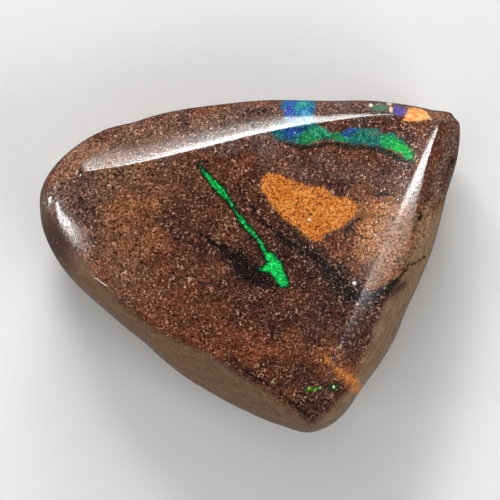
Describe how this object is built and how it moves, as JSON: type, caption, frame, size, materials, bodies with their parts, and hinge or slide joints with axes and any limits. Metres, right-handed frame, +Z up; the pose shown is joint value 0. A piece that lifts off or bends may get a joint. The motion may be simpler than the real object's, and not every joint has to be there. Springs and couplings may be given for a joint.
{
  "type": "polished boulder opal",
  "caption": "Freeform polished boulder opal: domed brown ironstone with bevelled edges and flush green and blue opal seams, ground flat underneath so that it rests on a table.",
  "frame": {"origin": "middle of the flat base, under the middle of the stone's bounding box", "axes": "+X along the long way of the stone, from its rounded tip to its square corner; +Y towards the side with the long upper bevel; +Z up from the flat base to the dome"},
  "size_m": [0.03, 0.0238, 0.0086],
  "materials": {
    "ironstone": "polished brown ironstone with sandy grain, green and blue opal seams and orange patches"
  },
  "bodies": {
    "root": {"boulder_opal": "ironstone"}
  },
  "joints": []
}
